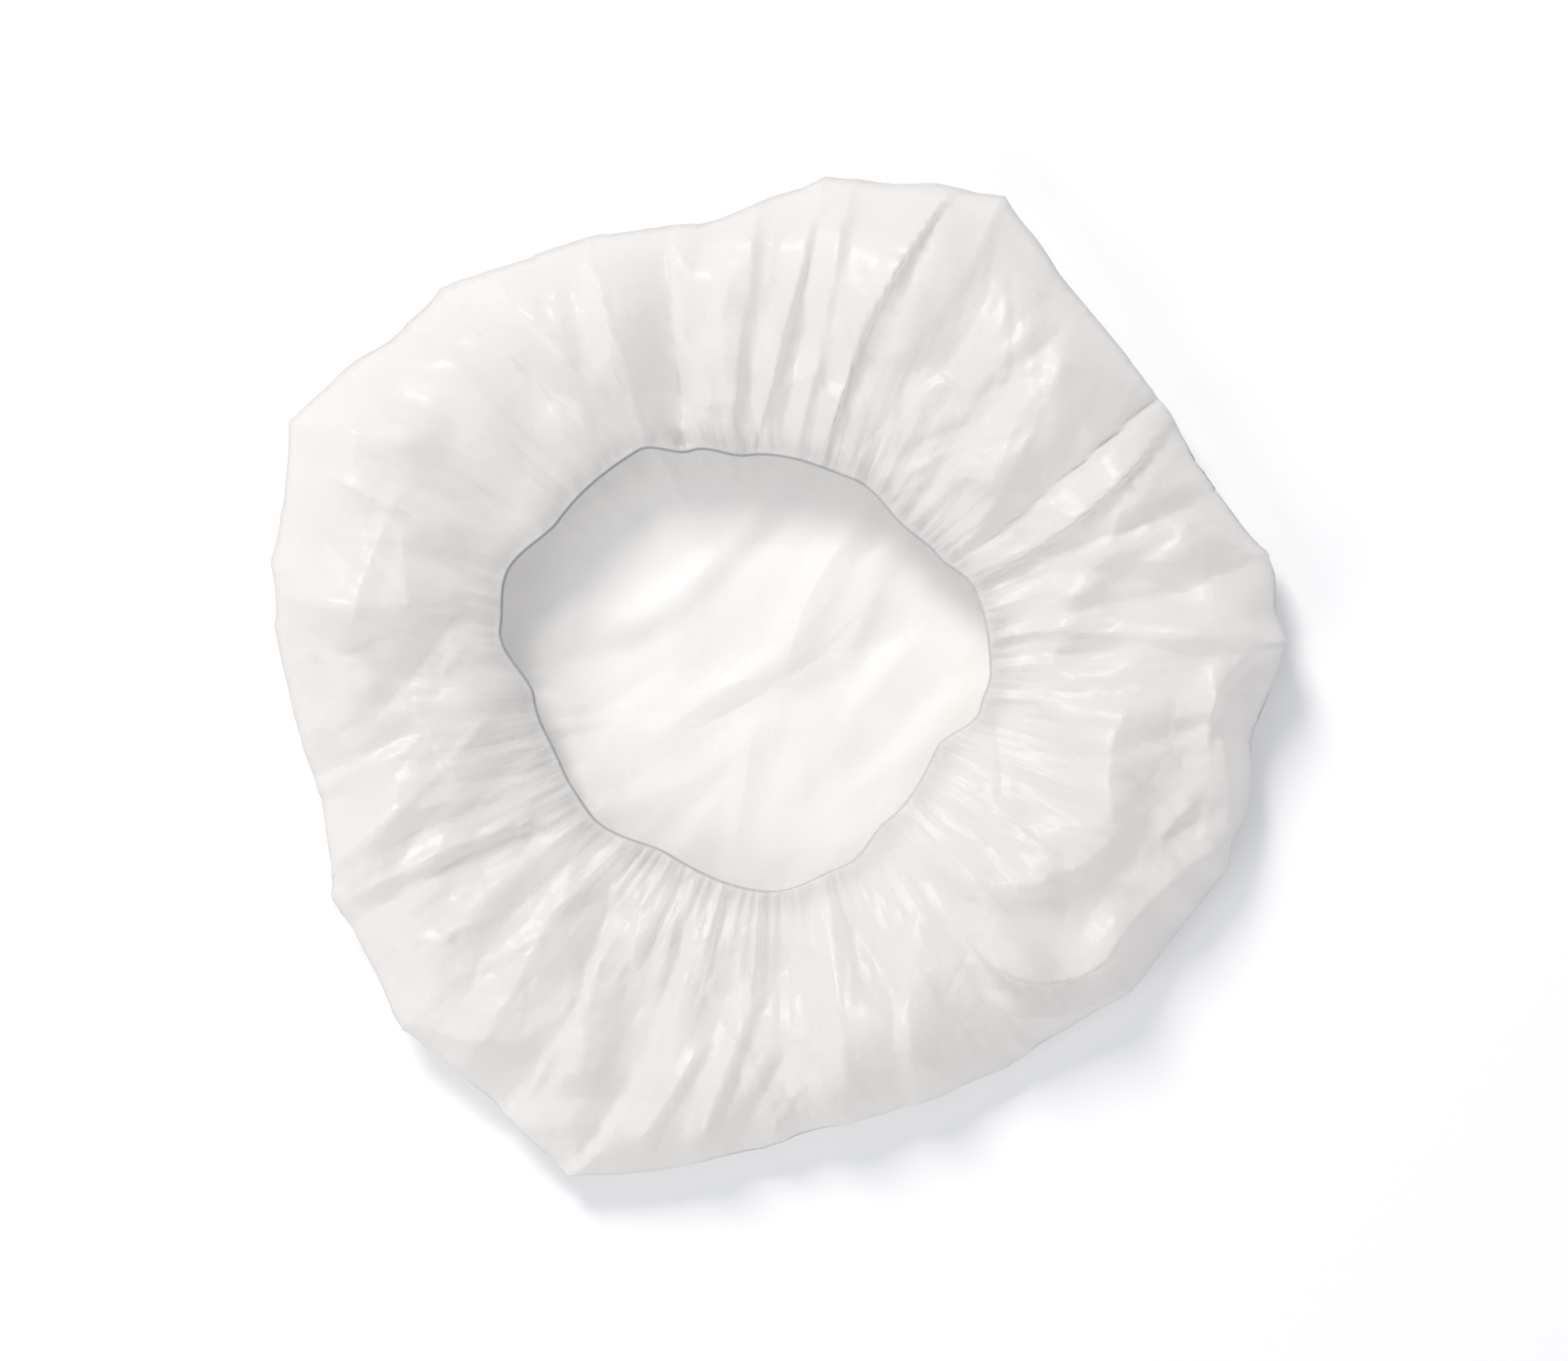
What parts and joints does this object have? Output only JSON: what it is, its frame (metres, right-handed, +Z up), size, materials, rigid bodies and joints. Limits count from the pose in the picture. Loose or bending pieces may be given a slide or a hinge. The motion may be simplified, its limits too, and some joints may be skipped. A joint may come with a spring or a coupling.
{
  "type": "disposable shower cap",
  "caption": "Round cap of thin white film, puffed and folded into a ring round an elasticated opening, lying on its crown with the opening up.",
  "frame": {"origin": "on the floor under the middle of the cap's outline", "axes": "+Z up out of the opening, +X to the right and +Y to the back as seen from above"},
  "size_m": [0.2708, 0.2688, 0.0368],
  "materials": {
    "film": "satin, thin and slightly translucent",
    "elastic": "matt"
  },
  "bodies": {
    "root": {"crown_film": "film", "elastic_band": "elastic"}
  },
  "joints": []
}
